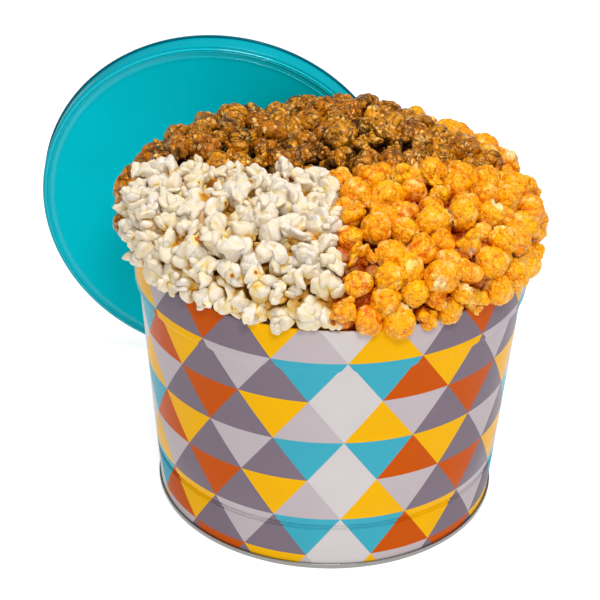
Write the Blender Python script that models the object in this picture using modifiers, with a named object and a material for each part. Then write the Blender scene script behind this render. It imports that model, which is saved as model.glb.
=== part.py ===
"""Round printed tin heaped with three kinds of popcorn, its lid leaning on the rim behind it.

All lengths are in metres. The tin stands on its own axis, +Z is up and the front is -Y.
The origin is the centre of the recessed base panel's underside.
"""

import math
import random

import bmesh
import bpy
from mathutils import Matrix, Vector

# Driving sizes of the tin.
U = 0.1245                      # tin radius at the print's highest row of corners
FLOOR = -0.003                  # level of the foot ring, under the recessed panel
RIM_TOP = FLOOR + 0.1830        # top of the rolled rim
SHEET = 0.0006                  # thickness of the sheet metal
R_SHOULDER = 0.1256             # outside radius of the straight shoulder
R_NECK = 0.1230                 # outside radius just below the shoulder's step
R_FOOT = 0.1106                 # outside radius of the wall at the foot
Z_SHOULDER = FLOOR + 0.1565     # lower edge of the shoulder
Z_NECK = FLOOR + 0.1520         # lower end of the step
Z_GROOVE = FLOOR + 0.0330       # middle of the shallow groove near the foot
GROOVE_HALF = 0.0024
GROOVE_DEPTH = 0.0009
ROLL = 0.0025                   # width of the rolled rim
GAP = 0.0003                    # clearance between parts that touch
STEPS = 52                      # sides of a full turn
CORE_STEPS = 26                 # sides of the heap's core

# Driving sizes of the lid.
R_LID = 0.1264
LID_DEPTH = 0.0155
LID_LEAN = math.radians(3.0)    # lean towards the tin
LID_TURN = math.radians(-4.5)   # turn about the vertical
LID_SIDE = -0.715 * U           # sideways shift along the lid's own face

# Driving sizes of the heap.
HEAP_RADIUS = 1.120 * U
HEAP_CORE = 0.315 * U           # height of the core above the rim, in the middle
HEAP_POWER = 6.0
R_CORE = 0.990 * U              # widest radius of the core, just above the rim
MEET = Vector((0.0, -0.095 * U))  # where the three kinds meet
SPLITS = (math.radians(-87.5), math.radians(15.0), math.radians(166.0))
EDGE_RING = 1.040 * U            # ring of the pieces that hang over the rim
SEED = 11

KINDS = {
    "popcorn_cheddar": {"from": 0, "to": 1, "r": (0.0114, 0.0132), "jitter": 0.08, "lobes": 0},
    "popcorn_caramel": {"from": 1, "to": 2, "r": (0.0108, 0.0130), "jitter": 0.11, "lobes": 0},
    "popcorn_white": {"from": 2, "to": 0, "r": (0.0116, 0.0136), "jitter": 0.10, "lobes": 1},
}

COLOURS = {
    "tin_body": ((0.52, 0.42, 0.38), 0.30, 0.3),
    "tin_base": ((0.62, 0.62, 0.61), 0.32, 1.0),
    "lid": ((0.0, 0.42, 0.50), 0.28, 0.2),
    "popcorn_white": ((0.90, 0.86, 0.72), 0.75, 0.0),
    "popcorn_cheddar": ((0.95, 0.48, 0.05), 0.60, 0.0),
    "popcorn_caramel": ((0.42, 0.20, 0.06), 0.30, 0.0),
}


def clear_scene():
    for item in list(bpy.data.objects):
        bpy.data.objects.remove(item, do_unlink=True)
    for group in list(bpy.data.collections):
        bpy.data.collections.remove(group)


def new_collection(name):
    group = bpy.data.collections.new(name)
    bpy.context.scene.collection.children.link(group)
    return group


def material_for(name):
    colour, roughness, metallic = COLOURS[name]
    made = bpy.data.materials.new(name)
    made.use_nodes = True
    shader = made.node_tree.nodes["Principled BSDF"]
    shader.inputs["Base Color"].default_value = (*colour, 1.0)
    shader.inputs["Roughness"].default_value = roughness
    shader.inputs["Metallic"].default_value = metallic
    return made


def link_mesh(name, mesh, group):
    item = bpy.data.objects.new(name, mesh)
    group.objects.link(item)
    return item


def apply_modifiers(item):
    depsgraph = bpy.context.evaluated_depsgraph_get()
    mesh = bpy.data.meshes.new_from_object(item.evaluated_get(depsgraph))
    item.modifiers.clear()
    item.data = mesh


def turned(name, profile, group, closed, steps=STEPS):
    """Turn a profile at +X round the Z axis. It runs down the outer side, top to bottom."""
    mesh = bpy.data.meshes.new(name)
    count = len(profile)
    edges = [(i, i + 1) for i in range(count - 1)]
    if closed:
        edges.append((count - 1, 0))
    mesh.from_pydata([(r, 0.0, z) for r, z in profile], edges, [])
    item = link_mesh(name, mesh, group)
    screw = item.modifiers.new("turn", "SCREW")
    screw.axis = "Z"
    screw.angle = math.tau
    screw.steps = steps
    screw.render_steps = steps
    screw.use_merge_vertices = True
    screw.merge_threshold = 0.00005
    screw.use_normal_calculate = True
    apply_modifiers(item)
    bm = bmesh.new()
    bm.from_mesh(item.data)
    bmesh.ops.recalc_face_normals(bm, faces=bm.faces)
    bm.to_mesh(item.data)
    bm.free()
    return item


def wall_radius(z):
    """Outside radius of the tapered wall below the step."""
    share = (z - FLOOR) / (Z_NECK - FLOOR)
    return R_FOOT + (R_NECK - R_FOOT) * share


def arc(centre_r, centre_z, radius, start, end, count):
    """Points of a small arc in the profile plane, angles in degrees from +X."""
    points = []
    for i in range(count):
        a = math.radians(start + (end - start) * i / (count - 1))
        points.append((centre_r + radius * math.cos(a), centre_z + radius * math.sin(a)))
    return points


def tin_body(group):
    half = ROLL / 2
    z_low = FLOOR + 0.0016
    outside = arc(R_SHOULDER - half, RIM_TOP - half, half, 180, 0, 5)
    outside.append((R_SHOULDER, Z_SHOULDER))
    outside.append((R_NECK, Z_NECK))
    groove = []
    for dz, depth in ((1.0, 0.0), (0.45, 1.0), (-0.45, 1.0), (-1.0, 0.0)):
        z = Z_GROOVE + dz * GROOVE_HALF
        groove.append((wall_radius(z) - depth * GROOVE_DEPTH, z))
    outside += groove
    outside.append((wall_radius(z_low), z_low))
    inside = [(wall_radius(z_low) - SHEET, z_low)]
    inside += [(r - SHEET, z) for r, z in reversed(groove)]
    inside.append((R_NECK - SHEET, Z_NECK + 0.0002))
    inside.append((R_SHOULDER - SHEET, Z_SHOULDER + 0.0002))
    inside.append((R_SHOULDER - SHEET, RIM_TOP - ROLL))
    inside.append((R_SHOULDER - half, RIM_TOP - ROLL - 0.0001))
    return turned("tin_body", outside + inside, group, True)


def tin_base(group):
    """Pressed base: recessed panel, foot bead and the hook that holds the wall's lower edge."""
    r_wall = wall_radius(FLOOR + 0.0016)
    r_out = r_wall + GAP + 0.0011
    r_in = r_wall - SHEET - GAP - 0.0011
    z_hook = FLOOR + 0.0034
    profile = [
        (0.0, SHEET),
        (r_in - 0.0022, SHEET),
        (r_in - 0.0008, SHEET + 0.0012),
        (r_in, SHEET + 0.0014),
        (r_wall - SHEET - GAP, SHEET + 0.0010),
        (r_wall - SHEET - GAP, FLOOR + 0.0016 - GAP),
        (r_wall + GAP, FLOOR + 0.0016 - GAP),
        (r_wall + GAP + 0.0001, z_hook),
        (r_out - 0.0003, z_hook),
        (r_out, z_hook - 0.0006),
        (r_out, FLOOR + 0.0005),
        (r_out - 0.0005, FLOOR),
        (r_in + 0.0004, FLOOR),
        (r_in, FLOOR + 0.0005),
        (r_in - 0.0004, 0.0),
        (0.0, 0.0),
    ]
    return turned("tin_base", profile, group, False)


def lid_profile():
    """Outer skin from the middle outwards and down the skirt, then back along the inside."""
    r = R_LID
    outer = [
        (0.0, -0.0014),
        (r - 0.0118, -0.0014),
        (r - 0.0100, 0.0),
        (r - 0.0058, 0.0),
        (r - 0.0026, -0.0008),
        (r - 0.0006, -0.0029),
        (r, -0.0058),
        (r, -LID_DEPTH + 0.0026),
    ]
    curl = [
        (r + 0.0011, -LID_DEPTH + 0.0022),
        (r + 0.0015, -LID_DEPTH + 0.0011),
        (r + 0.0010, -LID_DEPTH + 0.0001),
        (r - 0.0001, -LID_DEPTH),
        (r - SHEET, -LID_DEPTH + 0.0006),
    ]
    inner = [
        (r - SHEET, -0.0058),
        (r - 0.0012, -0.0032),
        (r - 0.0029, -0.0014),
        (r - 0.0060, -SHEET),
        (r - 0.0097, -SHEET),
        (r - 0.0115, -0.0014 - SHEET),
        (0.0, -0.0014 - SHEET),
    ]
    return outer + curl + inner


def lid_frame():
    """Place the lid: outer face towards the tin, skirt's edge on the floor, leaning on the rim."""
    out = Vector((-math.sin(LID_TURN), math.cos(LID_TURN), 0.0))
    along = Vector((math.cos(LID_TURN), math.sin(LID_TURN), 0.0))
    up = Vector((0.0, 0.0, 1.0)) * math.cos(LID_LEAN) - out * math.sin(LID_LEAN)
    face = -out * math.cos(LID_LEAN) - Vector((0.0, 0.0, 1.0)) * math.sin(LID_LEAN)
    rotation = Matrix((along, up, face)).transposed()
    if rotation.determinant() < 0:
        rotation = Matrix((-along, up, face)).transposed()
    # The lowest point of the whole turned shape sets the height of the face's centre.
    lowest = 0.0
    for r, z in lid_profile():
        lowest = min(lowest, -r * up.z + z * face.z)
    height = FLOOR - lowest
    # The face plane passes just clear of the rolled rim.
    touch_z = RIM_TOP - ROLL / 2
    reach = R_SHOULDER + GAP / math.cos(LID_LEAN) + ROLL / 2 * (1 / math.cos(LID_LEAN) - 1)
    centre_out = reach + (touch_z - height) * math.tan(LID_LEAN)
    centre = out * centre_out + along * LID_SIDE + Vector((0.0, 0.0, height))
    return Matrix.Translation(centre) @ rotation.to_4x4(), centre, face


def lid(group):
    item = turned("lid", lid_profile(), group, False)
    frame, _, _ = lid_frame()
    item.data.transform(frame)
    item.data.update()
    return item


def core_top(r):
    return RIM_TOP + HEAP_CORE * (1.0 - (r / HEAP_RADIUS) ** HEAP_POWER)


def core_profile():
    """Core that fills the tin, steps out just above the rim and ends in a flat dome."""
    z_low = SHEET + 0.0022
    inset = SHEET + 0.0009
    r_throat = R_SHOULDER - ROLL - 0.0010
    profile = [(0.0, core_top(0.0))]
    for share in (0.45, 0.72, 0.88, 1.0):
        r = share * R_CORE
        profile.append((r, core_top(r)))
    profile.append((R_CORE, RIM_TOP + 0.0030))
    profile.append((r_throat, RIM_TOP + 0.0010))
    profile.append((r_throat, RIM_TOP - ROLL))
    profile.append((R_NECK - inset, Z_NECK))
    profile.append((wall_radius(z_low) - inset - 0.0020, z_low))
    profile.append((0.0, z_low))
    return profile


def sector_prism(name, first, last, group):
    """Upright prism covering one kind's share of the tin, half a gap inside its borders."""
    span = (last - first) % math.tau
    reach = 3.0 * U
    half = GAP * 0.75
    # The corner moves along the middle line until both borders are half a gap away.
    middle = first + span / 2
    corner = MEET + Vector((math.cos(middle), math.sin(middle))) * (half / math.sin(span / 2))
    points = [corner]
    steps = 5
    for i in range(steps):
        a = first + span * i / (steps - 1)
        points.append(corner + Vector((math.cos(a), math.sin(a))) * reach)
    bm = bmesh.new()
    low = [bm.verts.new((p.x, p.y, -0.05)) for p in points]
    face = bm.faces.new(low)
    extruded = bmesh.ops.extrude_face_region(bm, geom=[face])
    tops = [v for v in extruded["geom"] if isinstance(v, bmesh.types.BMVert)]
    bmesh.ops.translate(bm, verts=tops, vec=(0.0, 0.0, 0.6))
    bmesh.ops.recalc_face_normals(bm, faces=bm.faces)
    mesh = bpy.data.meshes.new(name)
    bm.to_mesh(mesh)
    bm.free()
    return link_mesh(name, mesh, group)


def border_distance(x, y, kind):
    """Signed distance inside the borders of one kind's share; negative is outside."""
    first = SPLITS[KINDS[kind]["from"]]
    last = SPLITS[KINDS[kind]["to"]]
    p = Vector((x, y)) - MEET
    d_first = math.cos(first) * p.y - math.sin(first) * p.x
    d_last = -(math.cos(last) * p.y - math.sin(last) * p.x)
    if (last - first) % math.tau < math.pi:
        return min(d_first, d_last)
    return max(d_first, d_last)


def lid_distance(x, y, z, centre, face):
    """Distance in front of the lid's face plane."""
    return (Vector((x, y, z)) - centre).dot(face)


def blob(name, radius, jitter, rng, place, group):
    """One piece: a ball with few sides, its corners pushed in and out."""
    bm = bmesh.new()
    bmesh.ops.create_icosphere(bm, subdivisions=1, radius=radius)
    turn = Matrix.Rotation(rng.uniform(0, math.tau), 3, "Z") @ Matrix.Rotation(rng.uniform(0, math.tau), 3, "X")
    for vert in bm.verts:
        vert.co = turn @ (vert.co * (1.0 + rng.uniform(-jitter, jitter)))
        vert.co += place
    mesh = bpy.data.meshes.new(name)
    bm.to_mesh(mesh)
    bm.free()
    return link_mesh(name, mesh, group)


def piece_places(kind, rng, centre, face):
    """Places of one kind's pieces: a ring over the rim, then a scatter on the dome."""
    low, high = KINDS[kind]["r"]
    reach = 1.0 + KINDS[kind]["jitter"]
    found = []

    def fits(x, y, z, radius, spacing):
        if border_distance(x, y, kind) < radius * reach + GAP:
            return False
        if lid_distance(x, y, z, centre, face) < radius * reach + 2 * GAP:
            return False
        for px, py, pz, pr in found:
            if (x - px) ** 2 + (y - py) ** 2 + (z - pz) ** 2 < (spacing * (radius + pr)) ** 2:
                return False
        return True

    for i in range(900):
        a = math.tau * i / 900
        radius = rng.uniform(low, high)
        r = EDGE_RING + rng.uniform(-0.004, 0.003)
        x = r * math.cos(a)
        y = r * math.sin(a)
        z = RIM_TOP + radius * reach + 0.0006 + rng.uniform(0.0, 0.002)
        for pull in (0.0, 0.004, 0.008, 0.012):
            shift = (r - pull) / r
            if fits(x * shift, y * shift, z, radius, 0.88):
                found.append((x * shift, y * shift, z, radius))
                break
    # First the large pieces, then smaller ones in the spaces left between them.
    for scale, spacing, widest in ((1.0, 0.90, 0.965), (0.80, 0.86, 0.985)):
        for _ in range(7000):
            r = widest * U * math.sqrt(rng.random())
            a = rng.uniform(0.0, math.tau)
            radius = scale * rng.uniform(low, high)
            z = core_top(r) + radius * rng.uniform(0.05, 0.30)
            if fits(r * math.cos(a), r * math.sin(a), z, radius, spacing):
                found.append((r * math.cos(a), r * math.sin(a), z, radius))
    return found


def keep_largest(item):
    """Drop loose scraps and the skins of sealed hollows, so one body is left."""
    bm = bmesh.new()
    bm.from_mesh(item.data)
    left = set(bm.faces)
    groups = []
    while left:
        start = left.pop()
        stack = [start]
        members = [start]
        while stack:
            for edge in stack.pop().edges:
                for other in edge.link_faces:
                    if other in left:
                        left.remove(other)
                        members.append(other)
                        stack.append(other)
        groups.append(members)
    groups.sort(key=len)
    scrap = [face for members in groups[:-1] for face in members]
    bmesh.ops.delete(bm, geom=scrap, context="FACES")
    bmesh.ops.triangulate(bm, faces=bm.faces)
    bm.to_mesh(item.data)
    bm.free()


def heap(kind, group, cutters):
    """One kind's share of the heap: its slice of the core with its pieces joined on."""
    spec = KINDS[kind]
    rng = random.Random(SEED + spec["from"])
    item = turned(kind, core_profile(), group, False, CORE_STEPS)
    prism = sector_prism(kind + "_share", SPLITS[spec["from"]], SPLITS[spec["to"]], cutters)
    cut = item.modifiers.new("share", "BOOLEAN")
    cut.operation = "INTERSECT"
    cut.solver = "EXACT"
    cut.object = prism
    apply_modifiers(item)
    bpy.data.objects.remove(prism, do_unlink=True)

    pieces = new_collection(kind + "_pieces")
    _, centre, face = lid_frame()
    places = piece_places(kind, rng, centre, face)
    for number, (x, y, z, radius) in enumerate(places):
        place = Vector((x, y, z))
        name = "%s_%03d" % (kind, number)
        if spec["lobes"]:
            blob(name, radius * 0.94, spec["jitter"], rng, place, pieces)
            turn = rng.uniform(0.0, math.tau)
            for lobe in range(spec["lobes"]):
                a = turn + math.pi * lobe + rng.uniform(-0.5, 0.5)
                shift = Vector((math.cos(a), math.sin(a), rng.uniform(0.0, 0.7))).normalized()
                size = radius * rng.uniform(0.46, 0.54)
                blob(name, size, 0.10, rng, place + shift * radius * 0.52, pieces)
        else:
            blob(name, radius, spec["jitter"], rng, place, pieces)
    join = item.modifiers.new("pieces", "BOOLEAN")
    join.operation = "UNION"
    join.solver = "EXACT"
    join.operand_type = "COLLECTION"
    join.collection = pieces
    apply_modifiers(item)
    for piece in list(pieces.objects):
        bpy.data.objects.remove(piece, do_unlink=True)
    bpy.data.collections.remove(pieces)
    keep_largest(item)
    print(kind, "pieces", len(places), "faces", len(item.data.polygons))
    return item


def finish(item, smooth):
    item.data.materials.clear()
    item.data.materials.append(material_for(item.name))
    if smooth:
        item.data.shade_smooth()
        item.data.set_sharp_from_angle(angle=math.radians(35.0))
    else:
        item.data.shade_flat()


def main():
    clear_scene()
    group = new_collection("popcorn_tin")
    cutters = new_collection("cutters")
    cutters.hide_render = True
    for item in (tin_body(group), tin_base(group), lid(group)):
        finish(item, True)
        print(item.name, "faces", len(item.data.polygons))
    for kind in KINDS:
        finish(heap(kind, group, cutters), False)


main()
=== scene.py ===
"""Looks of the popcorn tin: printed metal, enamelled lid and three kinds of popcorn.

All lengths are in metres, in the same frame as the CAD model.
"""

import math

import bpy
import numpy as np
from mathutils import Matrix, Vector


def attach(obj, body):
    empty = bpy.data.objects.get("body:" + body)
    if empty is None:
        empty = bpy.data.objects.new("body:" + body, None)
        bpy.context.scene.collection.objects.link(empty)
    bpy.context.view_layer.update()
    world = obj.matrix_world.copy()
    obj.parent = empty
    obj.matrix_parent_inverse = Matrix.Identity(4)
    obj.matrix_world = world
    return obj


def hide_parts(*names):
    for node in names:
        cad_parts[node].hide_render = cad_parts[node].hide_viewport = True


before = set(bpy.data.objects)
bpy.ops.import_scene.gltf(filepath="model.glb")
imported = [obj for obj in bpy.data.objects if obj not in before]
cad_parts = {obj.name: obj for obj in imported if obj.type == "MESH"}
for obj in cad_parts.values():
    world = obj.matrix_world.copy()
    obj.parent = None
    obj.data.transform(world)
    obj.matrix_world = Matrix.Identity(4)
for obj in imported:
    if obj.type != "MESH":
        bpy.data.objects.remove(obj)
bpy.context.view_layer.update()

# Sizes shared with the CAD model.
U = 0.1245  # tin radius at the print's highest row of corners
FLOOR = -0.003  # level of the foot, under the recessed panel
RIM_TOP = FLOOR + 0.1830  # top of the rolled rim
SHEET = 0.0006  # thickness of the sheet metal
R_SHOULDER = 0.1256  # outside radius of the straight shoulder
R_NECK = 0.1230  # outside radius just below the shoulder's step
R_FOOT = 0.1106  # outside radius of the wall at the foot
Z_SHOULDER = FLOOR + 0.1565  # lower edge of the shoulder
Z_NECK = FLOOR + 0.1520  # lower end of the step
Z_GROOVE = FLOOR + 0.0330  # middle of the shallow groove near the foot
GROOVE_HALF = 0.0024
GROOVE_DEPTH = 0.0009
Z_LOW = FLOOR + 0.0016  # lower edge of the wall, held by the folded foot
ROLL = 0.0025  # width of the rolled rim
ROLL_HALF = ROLL / 2
PRINT_END = 62  # where the print ends on the roll, degrees up from its outermost line
GAP = 0.0003  # clearance between parts that touch
STEPS = 192  # sides of a full turn

R_LID = 0.1264
LID_DEPTH = 0.0155
LID_LEAN = math.radians(3.0)  # lean towards the tin
LID_TURN = math.radians(-4.5)  # turn about the vertical
LID_SIDE = -0.715 * U  # sideways shift along the lid's own face
LID_PANEL = -0.0014  # level of the flat panel, in the lid's own frame
LID_UNDER = -0.0020  # level of the panel's inner side

# The cores: where the three kinds meet, the directions of their borders, and the lumpy top.
MEET = np.array([0.0, -0.095 * U])
SPLITS = (math.radians(-87.5), math.radians(15.0), math.radians(166.0))
CORE_GAP = 0.0002  # clearance of a core from its borders
CORE_EDGE = 0.925 * U  # radius of the lumpy top
CORE_INSET = 0.0130  # its depth under the surface of the outermost pieces
CORE_FLOOR = 0.003

# The pieces. A kind's number is its place in KIND_NAMES, and the other lists follow that order.
KIND_NAMES = ("cheddar", "caramel", "white")
PIECE_RADIUS = ((0.0086, 0.0106), (0.0080, 0.0104), (0.0100, 0.0134))
CLOSENESS = (0.98, 0.97, 0.71)  # share of its radius that a piece keeps to itself
PIECE_SPLITS = (math.radians(-89.0), math.radians(15.0), math.radians(171.0))
BORDER_SHARE = 0.50  # share of its own room that a piece keeps off a border
# Along the rim the kinds have run into each other: kind, least radius, first and last direction in degrees.
RIM_STRIPS = ((0, 0.83 * U, 8.0, 68.0), (1, 1.00 * U, 148.0, 186.0))

# The middles of the outermost pieces lie on one turned surface over the rim.
EDGE_R = 1.040 * U
EDGE_Z = RIM_TOP + 0.0060
CROWN = 0.0385  # height of its middle over its edge
CROWN_POWER = 5.4  # how square its shoulder is
OUTSIDE = 0.1390  # no piece reaches farther out
BARE_RIM = (math.radians(266.0), math.radians(278.0))
BARE_DEPTH = 0.0135  # how far pieces are set back there, so that the rim shows
R_ON_RIM = 0.985 * U  # a piece that reaches farther lies on the rim
# Fuller corners of the heap: direction and width in degrees, height.
SWELLS = ((168.0, 18.0, 0.0065), (205.0, 22.0, 0.0030), (318.0, 20.0, 0.0025))

# Throwing the pieces and pushing them apart.
TOP_TRIES = 9000
TOP_SPACING = 0.78  # share of their common room that two thrown pieces need between them
TOP_LIFTS = (-0.0040, 0.0026)  # range of heights over the surface
TOP_ROUNDS = 160
FILL_TRIES = 7000
FILL_SPACING = 0.80
FILL_LIFTS = (-0.0020, 0.0020)
FILL_ROUNDS = 50
THROW_OFF = 0.74  # the same share between a thrown piece and the layers over it
PUSH_OFF = 0.86  # the share that pushing makes of it
PUSH = 0.30  # part of an overlap that one round takes away
# Layers that fill the gaps: inset under the surface, scale of the pieces, layer that they are counted to.
FILL_LAYERS = ((0.0020, 0.95, 0), (0.0040, 0.80, 0), (0.0095, 0.88, 1), (0.0130, 0.80, 1))

# Points of a piece that lie deep in the heap get painted shade: they are coloured as creases.
SUNK_FROM = 0.0010
SUNK_DEPTH = 0.0070
SUNK_SHADE = 0.75

# Shapes of the pieces. Cells are given for the top layer and for the one below it.
FLAKES = {
    "cheddar": {"cells": (6, 4), "parts": (4, 6), "small": (0.48, 0.62), "large": (0.68, 0.84),
                "flat": (0.70, 1.0), "fine": 0.14, "hulls": 0.25},
    "caramel": {"cells": (5, 3), "parts": (3, 6), "small": (0.40, 0.56), "large": (0.60, 0.76),
                "flat": (0.55, 1.0), "fine": 0.14, "hulls": 0.12},
    "white": {"cells": (6, 4), "parts": (4, 6), "small": (0.48, 0.62), "large": (0.68, 0.84),
              "flat": (0.50, 0.95), "fine": 0.08, "hulls": 0.20},
}
BALLS = {
    "cheddar": {"share": 0.84, "cells": (12, 8), "domes": (9, 15), "height": 0.12, "width": 0.40,
                "waves": 9.0, "crinkle": 0.10, "open": 0.40, "lobed": 0.30},
    "caramel": {"share": 0.72, "cells": (10, 6), "domes": (9, 15), "height": 0.13, "width": 0.42,
                "waves": 6.5, "crinkle": 0.13, "open": 0.22, "lobed": 0.35},
}

# The print: rows of triangles, worked out from the photo's corners.
COLUMNS = 17
FIRST_COLUMN = 6.0  # half columns between the start of the colour rows and the front corner
PRINT_TURN = 0.0795  # angle of the front corner, radians
PRINT_TOP = FLOOR + 0.1606  # height of the highest row of corners
PRINT_STEP = 0.0302  # height of one row
WELD_STRIP = 0.026  # half width of the unprinted strip at the back, radians
WELD_RIDGE = 0.006  # half width of the ridge in it

# Camera, fitted to the print's corners.
CAM_LENS = 119.16  # for a sensor 36 mm wide
CAM_DISTANCE = 10.3537 * U
CAM_ELEVATION = math.radians(29.878)
CAM_ROLL = math.radians(1.352)
CAM_TARGET = Vector((-0.1545 * U, 0.0, PRINT_TOP - 0.2341 * U))

SEED = 5


def srgb(r, g, b):
    """Linear colour of an sRGB colour given in 0..255."""
    out = []
    for value in (r, g, b):
        value /= 255.0
        out.append(value / 12.92 if value <= 0.04045 else ((value + 0.055) / 1.055) ** 2.4)
    return (*out, 1.0)


# Mesh helpers.

def link_object(name, data):
    item = bpy.data.objects.new(name, data)
    bpy.context.scene.collection.objects.link(item)
    return item


def mesh_object(name, verts, faces):
    mesh = bpy.data.meshes.new(name)
    mesh.from_pydata([tuple(v) for v in verts], [], [tuple(f) for f in faces])
    mesh.validate()
    mesh.shade_smooth()
    return link_object(name, mesh)


def array_object(name, verts, quads, attributes):
    """Fast mesh from numpy arrays, with named float attributes on its points."""
    mesh = bpy.data.meshes.new(name)
    mesh.vertices.add(len(verts))
    mesh.vertices.foreach_set("co", verts.astype(np.float32).ravel())
    mesh.loops.add(quads.size)
    mesh.loops.foreach_set("vertex_index", quads.astype(np.int32).ravel())
    mesh.polygons.add(len(quads))
    mesh.polygons.foreach_set("loop_start", np.arange(0, quads.size, quads.shape[1], dtype=np.int32))
    mesh.update(calc_edges=True)
    mesh.validate()
    mesh.shade_smooth()
    for key, values in attributes.items():
        layer = mesh.attributes.new(key, "FLOAT", "POINT")
        layer.data.foreach_set("value", values.astype(np.float32))
    return link_object(name, mesh)


def turned(name, profile, closed, sharp=40.0):
    """Turn a profile round the Z axis; points on the axis are shared."""
    verts = []
    rows = []
    for r, z in profile:
        if r < 1e-6:
            rows.append([len(verts)] * STEPS)
            verts.append((0.0, 0.0, z))
            continue
        rows.append(list(range(len(verts), len(verts) + STEPS)))
        for i in range(STEPS):
            a = math.tau * i / STEPS
            verts.append((r * math.sin(a), -r * math.cos(a), z))
    faces = []
    count = len(rows)
    for k in range(count if closed else count - 1):
        upper = rows[k]
        lower = rows[(k + 1) % count]
        for i in range(STEPS):
            j = (i + 1) % STEPS
            corner = [upper[i], lower[i], lower[j], upper[j]]
            face = [c for n, c in enumerate(corner) if c not in corner[:n]]
            if len(face) > 2:
                faces.append(face)
    item = mesh_object(name, verts, faces)
    item.data.set_sharp_from_angle(angle=math.radians(sharp))
    return item


def arc(centre_r, centre_z, radius, start, end, count):
    """Points of a small arc in the profile plane, angles in degrees from the outward direction."""
    points = []
    for i in range(count):
        a = math.radians(start + (end - start) * i / (count - 1))
        points.append((centre_r + radius * math.cos(a), centre_z + radius * math.sin(a)))
    return points


def smooth_step(start, end, count):
    """Cosine blend between two points of a profile."""
    (r0, z0), (r1, z1) = start, end
    made = []
    for i in range(count + 1):
        t = i / count
        s = (1 - math.cos(math.pi * t)) / 2
        made.append((r0 + (r1 - r0) * s, z0 + (z1 - z0) * t))
    return made


# Node helpers.

class Shader:
    """Small helper to build a node material."""

    def __init__(self, name):
        self.material = bpy.data.materials.new(name)
        self.material.use_nodes = True
        self.tree = self.material.node_tree
        self.bsdf = self.tree.nodes["Principled BSDF"]

    def feed(self, socket, value):
        """A number or a colour is set on the socket; anything else is linked to it."""
        if isinstance(value, (int, float, tuple)):
            socket.default_value = value
        else:
            self.tree.links.new(value, socket)

    def node(self, kind, inputs=None, **settings):
        """New node with its settings and with what goes into its sockets."""
        made = self.tree.nodes.new(kind)
        for key, value in settings.items():
            setattr(made, key, value)
        for key, value in (inputs or {}).items():
            self.feed(made.inputs[key], value)
        return made

    def math(self, operation, *values):
        return self.node("ShaderNodeMath", dict(enumerate(values)), operation=operation).outputs[0]

    def plus(self, a, b):
        return self.math("ADD", a, b)

    def minus(self, a, b):
        return self.math("SUBTRACT", a, b)

    def times(self, a, b):
        return self.math("MULTIPLY", a, b)

    def over(self, a, b):
        return self.math("DIVIDE", a, b)

    def mix(self, factor, a, b):
        return self.node("ShaderNodeMix", {0: factor, 6: a, 7: b}, data_type="RGBA").outputs[2]

    def ramp(self, factor, stops, interpolation="LINEAR"):
        made = self.node("ShaderNodeValToRGB", {0: factor})
        made.color_ramp.interpolation = interpolation
        elements = made.color_ramp.elements
        while len(elements) > 1:
            elements.remove(elements[-1])
        elements[0].position = stops[0][0]
        elements[0].color = stops[0][1]
        for position, colour in stops[1:]:
            element = elements.new(position)
            element.color = colour
        return made.outputs[0]

    def grey_ramp(self, factor, stops):
        return self.ramp(factor, [(p, (v, v, v, 1.0)) for p, v in stops])

    def rise(self, factor, low, high, most=1.0):
        """Nothing up to the low value, the most from the high one on."""
        return self.grey_ramp(factor, [(low, 0.0), (high, most)])

    def coords(self):
        return self.node("ShaderNodeTexCoord").outputs["Object"]

    def noise(self, scale, detail=3.0, rough=0.5, vector=None, output="Fac"):
        inputs = {"Scale": scale, "Detail": detail, "Roughness": rough, "Vector": vector or self.coords()}
        return self.node("ShaderNodeTexNoise", inputs).outputs[output]

    def lines(self, scale, width, vector=None):
        """Curved lines where a noise crosses its middle: 1 on a line, 0 away from it."""
        away = self.math("ABSOLUTE", self.minus(self.noise(scale, 1.0, 0.4, vector), 0.5))
        return self.grey_ramp(away, [(0.0, 1.0), (width, 0.0)])

    def voronoi(self, scale, feature, vector=None):
        inputs = {"Scale": scale, "Vector": vector or self.coords()}
        return self.node("ShaderNodeTexVoronoi", inputs, feature=feature).outputs["Distance"]

    def attribute(self, name):
        return self.node("ShaderNodeAttribute", attribute_name=name).outputs["Fac"]

    def bump(self, height, distance, strength):
        inputs = {"Strength": strength, "Distance": distance, "Height": height}
        return self.node("ShaderNodeBump", inputs).outputs[0]

    def set(self, **values):
        for key, value in values.items():
            self.feed(self.bsdf.inputs[key.replace("_", " ")], value)


# Tin.

def wall_radius(z):
    """Outside radius of the tapered wall below the step."""
    share = (z - FLOOR) / (Z_NECK - FLOOR)
    return R_FOOT + (R_NECK - R_FOOT) * share


def roll_arc(start, end, count):
    """Points on the rolled rim."""
    return arc(R_SHOULDER - ROLL_HALF, RIM_TOP - ROLL_HALF, ROLL_HALF, start, end, count)


def tin_profile():
    """Wall from the roll down to the foot and, one sheet farther in, up again."""
    step = smooth_step((R_SHOULDER, Z_SHOULDER), (R_NECK, Z_NECK), 8)
    groove = []
    for i in range(17):
        t = i / 16
        z = Z_GROOVE + GROOVE_HALF * (1 - 2 * t)
        depth = GROOVE_DEPTH * (1 - math.cos(2 * math.tau * t)) / 2
        groove.append((wall_radius(z) - depth, z))
    outside = roll_arc(PRINT_END, 0, 6) + step
    outside += [(wall_radius(z), z) for z in (0.115, 0.085, 0.055)]
    outside += groove
    outside.append((wall_radius(Z_LOW), Z_LOW))
    inside = [(wall_radius(Z_LOW) - SHEET, Z_LOW)]
    inside += [(r - SHEET, z) for r, z in reversed(groove)]
    inside += [(r - SHEET, z + 0.0002) for r, z in reversed(step)]
    inside.append((R_SHOULDER - SHEET, RIM_TOP - ROLL - 0.0004))
    return outside + inside


def make_tin():
    body = turned("tin_wall", tin_profile(), True)
    rim = turned("tin_rim", list(reversed(roll_arc(270, PRINT_END, 14))), False, sharp=80.0)
    return body, rim


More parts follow.
